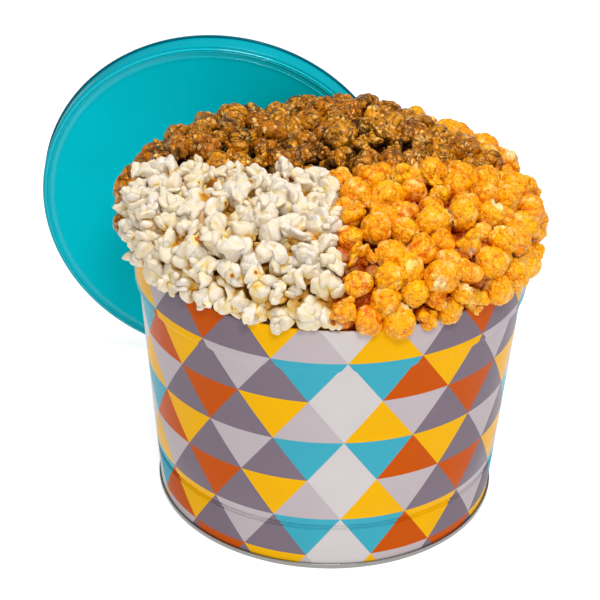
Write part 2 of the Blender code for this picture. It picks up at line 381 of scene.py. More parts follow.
def make_base():
    """Recessed panel whose edge is folded round the lower edge of the wall."""
    fold = 0.0011
    r_wall = wall_radius(Z_LOW)
    r_out = r_wall + GAP + fold
    r_in = r_wall - SHEET - GAP - fold
    z_hook = FLOOR + 0.0034
    profile = [(0.0, SHEET), (r_in - 0.0022, SHEET), (r_in - 0.0008, SHEET + 0.0012), (r_in, SHEET + 0.0014)]
    profile += [(r_wall - SHEET - GAP, SHEET + 0.0010), (r_wall - SHEET - GAP, Z_LOW - GAP)]
    profile += [(r_wall + GAP, Z_LOW - GAP), (r_wall + GAP + 0.0001, z_hook)]
    profile += arc(r_out - 0.0005, z_hook - 0.0005, 0.0005, 90, 0, 4)
    profile += arc(r_out - 0.0007, FLOOR + 0.0007, 0.0007, 0, -90, 4)
    profile += arc(r_in + 0.0007, FLOOR + 0.0007, 0.0007, -90, -180, 4)
    # A shallow ring pressed into the panel, as in such bases.
    profile += [(r_in - 0.0004, 0.0), (0.080, 0.0), (0.078, 0.0005)]
    profile += [(0.074, 0.0005), (0.072, 0.0), (0.0, 0.0)]
    return turned("tin_foot", profile, False, sharp=50.0)


def lid_frame():
    """Place of the lid, as in the CAD model."""
    out = Vector((-math.sin(LID_TURN), math.cos(LID_TURN), 0.0))
    along = Vector((math.cos(LID_TURN), math.sin(LID_TURN), 0.0))
    up = Vector((0.0, 0.0, 1.0)) * math.cos(LID_LEAN) - out * math.sin(LID_LEAN)
    face = -out * math.cos(LID_LEAN) - Vector((0.0, 0.0, 1.0)) * math.sin(LID_LEAN)
    rotation = Matrix((along, up, face)).transposed()
    # Corners of the solid lid's hem; the lowest one stands on the floor.
    hem = [(R_LID + 0.0011, -LID_DEPTH + 0.0022), (R_LID + 0.0015, -LID_DEPTH + 0.0011)]
    hem += [(R_LID + 0.0010, -LID_DEPTH + 0.0001), (R_LID - 0.0001, -LID_DEPTH), (R_LID, -0.0058)]
    lowest = min(-r * up.z + z * face.z for r, z in hem)
    height = FLOOR - lowest
    touch_z = RIM_TOP - ROLL_HALF
    reach = R_SHOULDER + GAP / math.cos(LID_LEAN) + ROLL_HALF * (1 / math.cos(LID_LEAN) - 1)
    centre = out * (reach + (touch_z - height) * math.tan(LID_LEAN)) + along * LID_SIDE
    centre.z = height
    return Matrix.Translation(centre) @ rotation.to_4x4(), centre, face


def bead(middle, half, low, height, count=8):
    """Rounded bead pressed into sheet: points from its outer side of the profile to its inner side."""
    made = []
    for i in range(count + 1):
        u = 2 * i / count - 1
        made.append((middle + half * u, low + height * (1 + math.cos(math.pi * u)) / 2))
    return made


def make_lid():
    """Flat panel, a fine bead, a flat ring, two beads close together, then the rounded corner."""
    r = R_LID
    low = LID_PANEL
    half = 0.0007
    panel = [(0.0, low), (r - 0.0104, low), (r - 0.0094, low)]
    ring = bead(r - 0.0087, half, low, 0.0006) + [(r - 0.0062, low), (r - 0.0052, low)]
    ring += bead(r - 0.0043, half, low + 0.0004, 0.0008) + bead(r - 0.0029, half, low + 0.0004, 0.0008)
    ring += [(r - 0.0020, low + 0.0005)]
    side = arc(r - 0.0016, -0.0026, 0.0016, 96, 0, 7) + [(r, -LID_DEPTH + 0.0024)]
    curl = arc(r + 0.00035, -LID_DEPTH + 0.00115, 0.00115, 110, -150, 10)
    inside = [(r - SHEET, -LID_DEPTH + 0.0008), (r - SHEET, -0.0052), (r - 0.0012, -0.0036)]
    inside += [(distance, LID_UNDER) for distance in (r - 0.0029, r - 0.0062, r - 0.0085, 0.0)]
    matrix, _, _ = lid_frame()
    face = turned("lid_face", panel, False, sharp=60.0)
    beads = turned("lid_beads", [panel[-1]] + ring + [side[0]], False, sharp=70.0)
    skirt = turned("lid_skirt", side, False, sharp=60.0)
    hem = turned("lid_hem", [side[-1]] + curl, False, sharp=60.0)
    lining = turned("lid_inside", [curl[-1]] + inside, False, sharp=60.0)
    made = (face, beads, skirt, hem, lining)
    for item in made:
        item.data.transform(matrix)
    return made


# Popcorn shapes.

def unit(v):
    return v / np.linalg.norm(v)


def unit_rows(p):
    return p / np.linalg.norm(p, axis=1, keepdims=True)


def sphere_grid(cells):
    """Unit directions and quads of a cube blown up to a sphere, with shared edges."""
    steps = np.tan(np.linspace(-math.pi / 4, math.pi / 4, cells + 1))
    a, b = np.meshgrid(steps, steps, indexing="ij")
    one = np.ones_like(a)
    sides = [(one, a, b), (-one, b, a), (b, one, a), (a, -one, b), (a, b, one), (b, a, -one)]
    points = unit_rows(np.concatenate([np.stack(side, -1).reshape(-1, 3) for side in sides]))
    width = cells + 1
    i, j = np.meshgrid(np.arange(cells), np.arange(cells), indexing="ij")
    corner = (i * width + j).ravel()
    quad = np.stack([corner, corner + width, corner + width + 1, corner + 1], -1)
    quads = np.concatenate([quad + side * width * width for side in range(6)])
    keys = np.round(points, 5) + 0.0
    _, first, back = np.unique(keys, axis=0, return_index=True, return_inverse=True)
    return points[first], back.reshape(-1)[quads]


GRIDS = {cells: sphere_grid(cells) for cells in (3, 4, 5, 6, 7, 8, 10, 12)}


def spread_directions(rng, count, closeness=1.0):
    """Random directions that keep some distance from each other."""
    found = []
    least = closeness * math.sqrt(4 * math.pi / count) * 0.72
    tries = 0
    while len(found) < count:
        v = unit(rng.normal(size=3))
        tries += 1
        if tries > 60 * count or all(math.acos(max(-1.0, min(1.0, float(v @ w)))) > least for w in found):
            found.append(v)
    return np.array(found)


def random_turn(rng):
    """Matrix of a random rotation."""
    w, x, y, z = unit(rng.normal(size=4))
    return np.array([
        [1 - 2 * (y * y + z * z), 2 * (x * y - w * z), 2 * (x * z + w * y)],
        [2 * (x * y + w * z), 1 - 2 * (x * x + z * z), 2 * (y * z - w * x)],
        [2 * (x * z - w * y), 2 * (y * z + w * x), 1 - 2 * (x * x + y * y)],
    ])


def wave_noise(points, rng, scale, count=7):
    """Smooth noise as a sum of a few random waves."""
    total = np.zeros(len(points))
    for _ in range(count):
        k = rng.normal(size=3)
        k *= scale * rng.uniform(0.6, 1.5) / np.linalg.norm(k)
        total += np.sin(points @ k + rng.uniform(0, math.tau))
    return total / math.sqrt(count / 2)


def drift(points, rng, scale):
    """A smooth random shift for each point."""
    return np.stack([wave_noise(points, rng, scale) for _ in range(3)], -1)


def bulges(dirs, rng, count, width):
    """Rounded cells over a ball: 0 in the creases between them, up to 1 on their tops."""
    seeds = spread_directions(rng, count)
    angle = np.arccos(np.clip(dirs @ seeds.T, -1, 1))
    part = np.partition(angle, 1, axis=1)
    gap = part[:, 1] - part[:, 0]
    t = np.clip(gap / width, 0, 1)
    return 1 - (1 - t) ** 2, gap


def lobes(dirs, rng, count, out, size, core):
    """Far surface of a union of balls set round the middle, with the crease between the top two."""
    centres = spread_directions(rng, count, 0.85) * rng.uniform(*out, size=(count, 1))
    radii = rng.uniform(*size, size=count)
    along = dirs @ centres.T
    inner = radii ** 2 - (centres ** 2).sum(1) + along ** 2
    reach = np.where((inner > 0) & (along > 0), along + np.sqrt(np.maximum(inner, 0)), core * 0.8)
    reach = np.concatenate([reach, np.full((len(dirs), 1), core)], axis=1)
    part = np.sort(reach, axis=1)
    top, second = part[:, -1], part[:, -2]
    sharp = 26.0
    soft = np.log(np.exp(sharp * (reach - top[:, None])).sum(1)) / sharp
    return top + soft, top - second


def puff(rng, cells, fine, spotted):
    """One petal of a flake: rounded lobes grown together, with small folds between them."""
    dirs, quads = GRIDS[cells]
    bent = unit_rows(dirs + 0.18 * drift(dirs, rng, 2.8))
    radius, gap = lobes(bent, rng, int(rng.integers(4, 8)), (0.34, 0.62), (0.38, 0.58), 0.58)
    billow = np.abs(wave_noise(bent, rng, 5.5))
    radius += fine * np.clip(billow - 0.5, -0.5, 0.5)
    crease = np.exp(-gap / 0.10) + 0.45 * np.exp(-billow / 0.16)
    spot = np.zeros(len(dirs))
    if spotted:
        axis = spread_directions(rng, 1)[0]
        angle = np.arccos(np.clip(dirs @ axis, -1, 1))
        spot = np.clip(1.25 - angle / 0.62, 0, 1)
        radius -= 0.16 * spot
    return dirs * radius[:, None], quads, np.clip(crease, 0, 1), spot


def flake_shape(rng, cells, flake):
    """Butterfly flake: cupped petals that stand out from one middle, some large and some small."""
    made = []
    total = 0
    count = int(rng.integers(*flake["parts"]))
    ways = spread_directions(rng, count, 0.9)
    large = int(rng.integers(1, 3))
    for number, way in enumerate(ways):
        # The first petal is always a large one, on a finer grid.
        petal_cells = cells + 1 if number == 0 else cells
        part, part_quads, crease, spot = puff(rng, petal_cells, flake["fine"], rng.random() < flake["hulls"])
        part = part * np.array([1.0, rng.uniform(0.85, 1.10), rng.uniform(*flake["flat"])])
        part[:, 2] += rng.uniform(-0.40, 0.40) * part[:, 0] ** 2 + rng.uniform(-0.35, 0.35) * part[:, 1] ** 2
        side = unit(np.cross(way, rng.normal(size=3)))
        part = part @ np.stack([way, side, np.cross(way, side)])
        size = rng.uniform(*flake["large" if number < large else "small"])
        part = part * size + way * (1.0 - 0.95 * size)
        made.append((part, part_quads + total, crease, spot))
        total += len(part)
    points, quads, crease, spot = (np.concatenate(column) for column in zip(*made))
    points += 0.060 * drift(points, rng, 4.6)
    # Painted shade: points near the flake's middle count as deep in a crease, and so are coloured darker.
    span = np.linalg.norm(points, axis=1)
    deep = np.clip((0.56 - span) / 0.36, 0, 1)
    return points, quads, np.clip(0.55 * crease + 0.80 * deep, 0, 1), spot


def ball_shape(rng, cells, ball, lobed):
    """Mushroom ball: rounded cells with a crinkled skin, sometimes with lobes or an open fold."""
    dirs, quads = GRIDS[cells]
    bent = unit_rows(dirs + 0.13 * drift(dirs, rng, 4.5))
    large, large_gap = bulges(bent, rng, int(rng.integers(*ball["domes"])), ball["width"])
    crinkle = np.abs(wave_noise(bent, rng, ball["waves"]))
    radius = 0.86 + ball["height"] * large + ball["crinkle"] * np.clip(crinkle, 0, 1.2)
    radius += 0.040 * wave_noise(dirs, rng, 2.2)
    crease = 0.75 * np.exp(-large_gap / 0.085) + 0.60 * np.exp(-crinkle / 0.16)
    if lobed:
        out, gap = lobes(bent, rng, int(rng.integers(4, 7)), (0.34, 0.62), (0.42, 0.58), 0.60)
        radius = radius * 0.35 + out * 0.65
        crease += 0.8 * np.exp(-gap / 0.09)
    pale = np.zeros(len(dirs))
    if rng.random() < ball["open"]:
        axis = spread_directions(rng, 1)[0]
        side = spread_directions(rng, 1)[0]
        side = unit(side - axis * (side @ axis))
        u = bent @ side
        w = bent @ np.cross(axis, side)
        facing = np.clip(bent @ axis, 0, 1)
        fold = np.exp(-((u / 0.14) ** 2) - ((w / 0.70) ** 2)) * facing
        lips = np.exp(-(((np.abs(u) - 0.26) / 0.13) ** 2) - ((w / 0.65) ** 2)) * facing
        radius += 0.08 * lips - 0.26 * fold
        pale = np.clip(0.9 * fold + 1.1 * lips, 0, 1)
    points = dirs * radius[:, None] * rng.uniform(0.88, 1.12, size=3)
    return points, quads, np.clip(crease, 0, 1), pale


class Heap:
    """Collects the pieces of one kind and turns them into one mesh."""

    def __init__(self):
        self.verts = []
        self.quads = []
        self.values = {"crease": [], "extra": [], "tone": []}
        self.count = 0

    def add(self, shape, radius, place, rng):
        points, quads, crease, extra = shape
        points = points @ random_turn(rng).T * radius + place
        reach = np.linalg.norm(points[:, :2], axis=1).max()
        if reach > OUTSIDE:
            points[:, :2] -= (reach - OUTSIDE) * place[:2] / np.linalg.norm(place[:2])
        self.verts.append(points)
        self.quads.append(quads + self.count)
        self.count += len(points)
        self.values["crease"].append(crease)
        self.values["extra"].append(extra)
        self.values["tone"].append(np.full(len(points), rng.random()))

    def build(self, name):
        values = {key: np.concatenate(parts) for key, parts in self.values.items()}
        verts = np.concatenate(self.verts)
        # Painted shade: points that lie deep under the heap's surface are coloured as creases.
        sunk = np.clip((SUNK_FROM - height_over_crown(verts)) / SUNK_DEPTH, 0, 1)
        values["crease"] = np.clip(values["crease"] + SUNK_SHADE * sunk, 0, 1)
        quads = np.concatenate(self.quads)
        return array_object(name, verts, quads, values)


# Layout of the heap.

def share_at(x, y):
    """Number of the kind that lies at each place."""
    angle = np.arctan2(y - MEET[1], x - MEET[0])
    first, second, third = PIECE_SPLITS
    past = (angle - first) % math.tau
    share = np.where(past < second - first, 0, np.where(past < third - first, 1, 2))
    reach = np.hypot(x, y)
    turn = np.degrees(np.arctan2(y, x)) % 360
    for kind, least, start, end in RIM_STRIPS:
        share = np.where((reach > least) & (turn > start) & (turn < end), kind, share)
    return share


def crown_profile(inset=0.0, step=0.0001):
    """Evenly spaced points and normals of the outermost pieces' surface, moved inwards by an inset."""
    t = np.linspace(0, math.pi / 2, 6000)
    r = EDGE_R * np.sin(t) ** (2 / CROWN_POWER)
    z = EDGE_Z + CROWN * np.cos(t)
    way = np.concatenate([[0.0], np.cumsum(np.hypot(np.diff(r), np.diff(z)))])
    even = np.arange(0.0, way[-1], step)
    line = np.stack([np.interp(even, way, r), np.interp(even, way, z)], -1)
    slope = np.gradient(line, axis=0)
    normal = unit_rows(np.stack([-slope[:, 1], slope[:, 0]], -1))
    return line - normal * inset, normal


def on_crown(p, line, normal, lift):
    """Nearest places on the turned surface, moved along its normal by each piece's own lift."""
    r = np.linalg.norm(p[:, :2], axis=1)
    rz = np.stack([r, p[:, 2]], -1)
    rough = line[::10]
    near = ((rz[:, None, :] - rough[None, :, :]) ** 2).sum(2).argmin(1) * 10
    span = np.clip(near[:, None] + np.arange(-10, 11)[None, :], 0, len(line) - 1)
    best = ((rz[:, None, :] - line[span]) ** 2).sum(2).argmin(1)
    near = span[np.arange(len(p)), best]
    goal = line[near] + normal[near] * lift[:, None]
    flat = p[:, :2] / np.maximum(r, 1e-9)[:, None]
    return np.concatenate([flat * goal[:, :1], goal[:, 1:]], axis=1)


def swell(p):
    """Extra height where the heap is fuller near its edge."""
    turn = np.degrees(np.arctan2(p[:, 1], p[:, 0])) % 360
    out = np.clip(np.hypot(p[:, 0], p[:, 1]) / (0.9 * U), 0, 1) ** 3
    total = np.zeros(len(p))
    for middle, width, height in SWELLS:
        total += height * np.exp(-(((turn - middle) / width) ** 2)) * out
    return total


def height_over_crown(p):
    """Distance of points from the surface that the top pieces' middles lie on, outwards positive."""
    line, normal = crown_profile()
    line = line[::8]
    normal = normal[::8]
    rz = np.stack([np.linalg.norm(p[:, :2], axis=1), p[:, 2] - swell(p)], -1)
    height = np.empty(len(p))
    chunk = 8000
    for start in range(0, len(p), chunk):
        part = rz[start:start + chunk]
        near = ((part[:, None, :] - line[None, :, :]) ** 2).sum(2).argmin(1)
        height[start:start + chunk] = ((part - line[near]) * normal[near]).sum(1)
    return height


def off_borders(p, own):
    """Pieces that lie across a border between two kinds are moved to their own side of it."""
    p = p.copy()
    for turn in PIECE_SPLITS:
        ahead = np.array([math.cos(turn), math.sin(turn)])
        aside = np.array([-ahead[1], ahead[0]])
        way = p[:, :2] - MEET
        across = way @ aside
        short = np.clip(BORDER_SHARE * own - np.abs(across), 0, None) * (way @ ahead > 0)
        p[:, :2] += (np.sign(across) * short * 0.5)[:, None] * aside[None, :]
    return p


def random_on_crown(rng, line, count):
    """Random places, spread evenly over the turned surface."""
    share = np.cumsum(line[:, 0])
    pick = np.searchsorted(share / share[-1], rng.random(count))
    turn = rng.uniform(0, math.tau, size=count)
    return np.stack([line[pick, 0] * np.cos(turn), line[pick, 0] * np.sin(turn), line[pick, 1]], -1)


def ring_on_rim(rng):
    """Pieces that lie side by side on the rim and hang over it."""
    found = []
    turn = 0.0
    while turn < math.tau:
        place = np.array([EDGE_R * math.cos(turn), EDGE_R * math.sin(turn), 0.0])
        kind = int(share_at(place[:1], place[1:2])[0])
        radius = rng.uniform(*PIECE_RADIUS[kind])
        own = radius * CLOSENESS[kind]
        turn += own / EDGE_R
        r = min(EDGE_R + rng.uniform(-0.0035, 0.0005), OUTSIDE - radius)
        if BARE_RIM[0] < turn < BARE_RIM[1]:
            r -= BARE_DEPTH
        z = RIM_TOP + radius * rng.uniform(0.50, 0.75) + rng.choice((0.0, 0.0, 0.0030))
        found.append((np.array([r * math.cos(turn), r * math.sin(turn), z]), own, radius, kind))
        turn += own / EDGE_R
    return found


def scatter(rng, found, inset, tries, spacing, scale, keep_off):
    """Dart throwing over the surface: adds pieces that keep their distance from those found."""
    line, normal = crown_profile(inset)
    found = list(found)
    places = random_on_crown(rng, line, tries)
    kinds = share_at(places[:, 0], places[:, 1])
    for place, kind in zip(places, kinds):
        radius = scale * rng.uniform(*PIECE_RADIUS[kind])
        own = radius * CLOSENESS[kind]
        if keep_off is not None:
            if (np.linalg.norm(keep_off[0] - place, axis=1) < THROW_OFF * (keep_off[1] + own)).any():
                continue
        if found:
            others = np.array([f[0] for f in found])
            widths = np.array([f[1] for f in found])
            if (np.linalg.norm(others - place, axis=1) < spacing * (widths + own)).any():
                continue
        found.append((place, own, radius, kind))
    return line, normal, found


def push_off(p, others, need):
    """Pieces moved away from others that are nearer than they need to be."""
    d = p[:, None, :] - others[None, :, :]
    distance = np.linalg.norm(d, axis=2)
    distance[distance == 0] = np.inf
    push = np.clip(need - distance, 0, None) / distance * PUSH
    return p + (d * push[:, :, None]).sum(1)


def settle(rng, line, normal, found, lifts, rounds, fixed=0, keep_off=None):
    """Push pieces apart along the surface until they hardly overlap; the first few stay put."""
    _, centre, face = lid_frame()
    centre = np.array(centre)
    face = np.array(face)
    p, own, radius = (np.array([f[k] for f in found]) for k in range(3))
    lift = rng.uniform(*lifts, size=len(p))
    need = own[:, None] + own[None, :]
    p = off_borders(off_borders(p, own), own)
    kept = p[:fixed].copy()
    for _ in range(rounds):
        p = on_crown(p, line, normal, lift + swell(p))
        p[:fixed] = kept
        p = push_off(p, p, need)
        if keep_off is not None:
            p = push_off(p, keep_off[0], PUSH_OFF * (own[:, None] + keep_off[1][None, :]))
        p = off_borders(p, own)
        p[:fixed] = kept
        clear = (p - centre) @ face - radius * 1.04 - 0.0006
        p = p + np.clip(-clear, 0, None)[:, None] * face[None, :]
    # Pieces that reach over the rim lie on it.
    over = np.linalg.norm(p[:, :2], axis=1) + radius > R_ON_RIM
    p[:, 2] = np.where(over, np.maximum(p[:, 2], RIM_TOP + 0.50 * radius), p[:, 2])
    reach = np.linalg.norm(p[:, :2], axis=1)
    p[:, :2] *= np.minimum(1.0, (OUTSIDE - radius) / reach)[:, None]
    return p, own, radius


def with_kinds(p, radius, layer):
    """Rows of the layout, with the kind that lies at each place."""
    kinds = share_at(p[:, 0], p[:, 1])
    return [(int(kind), layer, place, float(size)) for kind, place, size in zip(kinds, p, radius)]


def layout(rng):
    """Places of all pieces: list of (kind, layer, place, radius)."""
    ring = ring_on_rim(rng)
    line, normal, found = scatter(rng, ring, 0.0, TOP_TRIES, TOP_SPACING, 1.0, None)
    p, own, radius = settle(rng, line, normal, found, TOP_LIFTS, TOP_ROUNDS, len(ring))
    placed = with_kinds(p, radius, 0)
    for inset, scale, layer in FILL_LAYERS:
        line, normal, found = scatter(rng, [], inset, FILL_TRIES, FILL_SPACING, scale, (p, own))
        q, q_own, q_radius = settle(rng, line, normal, found, FILL_LIFTS, FILL_ROUNDS, 0, (p, own))
        placed += with_kinds(q, q_radius, layer)
        p = np.concatenate([p, q])
        own = np.concatenate([own, q_own])
    return placed


def piece_shape(name, layer, rng):
    """Shape of one piece, by its kind and by how well it is seen."""
    ball = BALLS.get(name)
    if ball and rng.random() < ball["share"]:
        return ball_shape(rng, ball["cells"][layer], ball, rng.random() < ball["lobed"])
    flake = FLAKES[name]
    return flake_shape(rng, flake["cells"][layer], flake)


def make_heaps():
    rng = np.random.default_rng(SEED)
    heaps = {}
    for kind, layer, place, radius in layout(rng):
        name = KIND_NAMES[kind]
        key = name if layer == 0 else name + "_small"
        heap = heaps.setdefault(key, Heap())
        heap.add(piece_shape(name, layer, rng), radius, place, rng)
    return {key: heap.build("corn_" + key) for key, heap in heaps.items()}


def core_height(r):
    """Height of the dark core under the pieces."""
    line, _ = crown_profile(CORE_INSET)
    return np.interp(r, line[:, 0], line[:, 1])


def make_core(index):
    """Closed wedge under one kind's pieces, lumpy on top, filling its share of the tin."""
    first = SPLITS[index]
    last = SPLITS[(index + 1) % 3]
    span = (last - first) % math.tau
    middle = first + span / 2
    corner = MEET + np.array([math.cos(middle), math.sin(middle)]) * (CORE_GAP / math.sin(span / 2))
    angles = first + span * np.linspace(0, 1, 41)
    rays = np.stack([np.cos(angles), np.sin(angles)], -1)
    inset = SHEET + 0.0009
    r_throat = R_SHOULDER - ROLL - 0.0012
    levels = [(0.930 * U, RIM_TOP + 0.0030), (r_throat, RIM_TOP + 0.0010), (r_throat, RIM_TOP - ROLL)]
    levels += [(R_NECK - inset, Z_NECK), (wall_radius(CORE_FLOOR) - inset - 0.002, CORE_FLOOR)]

    def reach(radius):
        along = rays @ corner
        return -along + np.sqrt(along ** 2 + radius ** 2 - corner @ corner)

    verts = []
    rows = []
    for share in np.linspace(0, 1, 25)[1:]:
        xy = corner + rays * (reach(CORE_EDGE) * share)[:, None]
        z = core_height(np.linalg.norm(xy, axis=1))
        z += 0.0016 * np.sin(xy[:, 0] * 430 + 2.0 * np.sin(xy[:, 1] * 300)) * np.sin(xy[:, 1] * 410)
        rows.append(len(verts))
        verts += [(x, y, h) for (x, y), h in zip(xy, z)]
    for radius, height in levels:
        xy = corner + rays * reach(radius)[:, None]
        rows.append(len(verts))
        verts += [(x, y, height) for x, y in xy]
    count = len(angles)
    faces = []
    for upper, lower in zip(rows[:-1], rows[1:]):
        for i in range(count - 1):
            faces.append((upper + i, lower + i, lower + i + 1, upper + i + 1))
    top = len(verts)
    verts.append((corner[0], corner[1], float(core_height(np.linalg.norm(corner)))))
    low = len(verts)
    verts.append((corner[0], corner[1], CORE_FLOOR))
    for i in range(count - 1):
        faces.append((top, rows[0] + i, rows[0] + i + 1))
        faces.append((low, rows[-1] + i + 1, rows[-1] + i))
    faces.append([top, low, *reversed(rows)])
    faces.append([low, top] + [row + count - 1 for row in rows])
    item = mesh_object("core_" + KIND_NAMES[index], verts, faces)
    item.data.set_sharp_from_angle(angle=math.radians(50.0))
    return item


# Materials.

LIGHT_GREY = srgb(189, 178, 182)
WHITE = srgb(206, 200, 199)
PURPLE = srgb(124, 111, 123)
YELLOW = srgb(240, 178, 0)
ORANGE = srgb(197, 82, 0)
BLUE = srgb(62, 167, 188)
EVEN_ROW = (ORANGE, YELLOW, PURPLE, LIGHT_GREY, PURPLE, BLUE, WHITE, BLUE)
ODD_ROW = (LIGHT_GREY, PURPLE, ORANGE, PURPLE, YELLOW, LIGHT_GREY, WHITE, YELLOW)


def print_material():
    """Rows of triangles printed round the wall; each is coloured by its place in its row."""
    s = Shader("printed_metal")
    x, y, z = s.node("ShaderNodeSeparateXYZ", {0: s.coords()}).outputs
    back = s.times(y, -1.0)
    angle = s.math("ARCTAN2", x, back)
    half = math.pi / COLUMNS
    column = s.over(s.minus(angle, PRINT_TURN), half)
    column = s.plus(column, FIRST_COLUMN)
    row = s.over(s.minus(PRINT_TOP, z), PRINT_STEP)
    row_number = s.math("FLOOR", row)
    down = s.minus(row, row_number)
    odd = s.math("FLOORED_MODULO", row_number, 2.0)
    shifted = s.minus(column, odd)
    near = s.math("ROUND", s.over(shifted, 2.0))
    peak = s.plus(s.times(near, 2.0), odd)
    offset = s.minus(column, peak)
    points_up = s.math("LESS_THAN", s.math("ABSOLUTE", offset), down)
    beside = s.plus(peak, s.math("SIGN", offset))
    number = s.plus(s.times(points_up, peak), s.times(s.minus(1.0, points_up), beside))
    repeat = len(EVEN_ROW)
    place = s.over(s.plus(s.math("FLOORED_MODULO", number, repeat), 0.5), repeat)
    even_colour = s.ramp(place, [(i / repeat, c) for i, c in enumerate(EVEN_ROW)], "CONSTANT")
    odd_colour = s.ramp(place, [(i / repeat, c) for i, c in enumerate(ODD_ROW)], "CONSTANT")
    colour = s.mix(odd, even_colour, odd_colour)
    # The weld at the back is left unprinted: bare metal under clear lacquer.
    from_back = s.minus(math.pi, s.math("ABSOLUTE", angle))
    strip = s.math("LESS_THAN", from_back, WELD_STRIP)
    ridge = s.math("LESS_THAN", from_back, WELD_RIDGE)
    colour = s.mix(strip, colour, srgb(168, 165, 160))
    # Ink varies slightly over the sheet.
    tone = s.noise(38.0, 4.0, 0.55)
    colour = s.mix(s.rise(tone, 0.30, 0.70, 0.06), colour, srgb(70, 62, 66))
    height = s.plus(s.times(s.noise(900.0, 2.0), 0.03), ridge)
    smudge = s.grey_ramp(s.noise(22.0, 5.0, 0.6), [(0.35, 0.24), (0.65, 0.34)])
    s.set(Base_Color=colour, Roughness=smudge, Metallic=0.0, IOR=1.5)
    s.set(Specular_IOR_Level=0.025, Coat_Weight=0.03, Coat_Roughness=0.12, Normal=s.bump(height, 0.0002, 0.3))
    return s.material


def bare_metal(name, colour, rough):
    s = Shader(name)
    wear = s.noise(160.0, 4.0, 0.6)
    stretched = s.node("ShaderNodeMapping", {"Vector": s.coords(), "Scale": (30.0, 30.0, 900.0)})
    grain = s.noise(6.0, 3.0, 0.6, vector=stretched.outputs[0])
    shade = s.mix(s.rise(wear, 0.35, 0.75, 0.20), colour, srgb(120, 118, 114))
    s.set(Base_Color=shade, Metallic=1.0, Normal=s.bump(grain, 0.0001, 0.25))
    s.set(Roughness=s.grey_ramp(wear, [(0.3, rough - 0.06), (0.7, rough + 0.10)]))
    return s.material


def enamel_material(name, colours, specular, coat):
    s = Shader(name)
    tone = s.noise(30.0, 4.0, 0.5)
    colour = s.mix(s.rise(tone, 0.35, 0.70), *colours)
    peel = s.noise(700.0, 2.0)
    s.set(Base_Color=colour, Metallic=0.0, IOR=1.5, Coat_Weight=coat, Coat_Roughness=0.06)
    s.set(Specular_IOR_Level=specular)
    s.set(Roughness=s.grey_ramp(s.noise(18.0, 5.0, 0.6), [(0.35, 0.26), (0.70, 0.36)]))
    s.set(Normal=s.bump(peel, 0.00012, 0.25))
    return s.material


def white_material(name, shade):
    """Shade is painted shade: how much deeper and yellower the pieces of the lower layer are coloured."""
    s = Shader(name)
    crease = s.attribute("crease")
    hull = s.attribute("extra")
    tone = s.attribute("tone")
    body = s.mix(tone, srgb(227, 216, 204), srgb(224, 210, 184))
    # Cream and then ochre in creases and at deep points: partly the popcorn's own tint, partly painted shade.
    cream = s.mix(s.rise(crease, 0.18, 0.62, 0.90), body, srgb(234, 208, 126))
    cream = s.mix(s.rise(crease, 0.50, 0.95, 0.95), cream, srgb(216, 150, 22))
    patch = s.rise(s.noise(140.0, 2.0), 0.46, 0.60)
    fold = s.times(s.lines(190.0, 0.030), patch)
    cream = s.mix(s.times(fold, 0.40), cream, srgb(232, 204, 128))
    blotch = s.noise(230.0, 3.0, 0.55)
    butter = s.mix(s.rise(blotch, 0.56, 0.72, 0.40), cream, srgb(234, 200, 122))
    ring = s.mix(s.rise(hull, 0.05, 0.40, 0.9), butter, srgb(238, 200, 124))
    torn = s.plus(hull, s.times(s.minus(s.noise(420.0, 3.0, 0.6), 0.5), 0.5))
    colour = s.mix(s.rise(torn, 0.56, 0.68), ring, srgb(176, 96, 26))
    # Painted shade over the lower layer's pieces.
    colour = s.mix(shade, colour, srgb(198, 130, 10))
    fine = s.noise(1500.0, 3.0, 0.6)
    lumps = s.noise(260.0, 2.0, 0.5)
    height = s.plus(s.times(fine, 0.08), s.times(lumps, 1.2))
    height = s.minus(height, s.times(fold, 0.5))
    s.set(Base_Color=colour, Roughness=0.60, IOR=1.4, Specular_IOR_Level=0.30)
    s.set(Subsurface_Weight=0.40, Subsurface_Radius=(1.0, 0.88, 0.62), Subsurface_Scale=0.003)
    s.set(Normal=s.bump(height, 0.0012, 0.6))
    return s.material


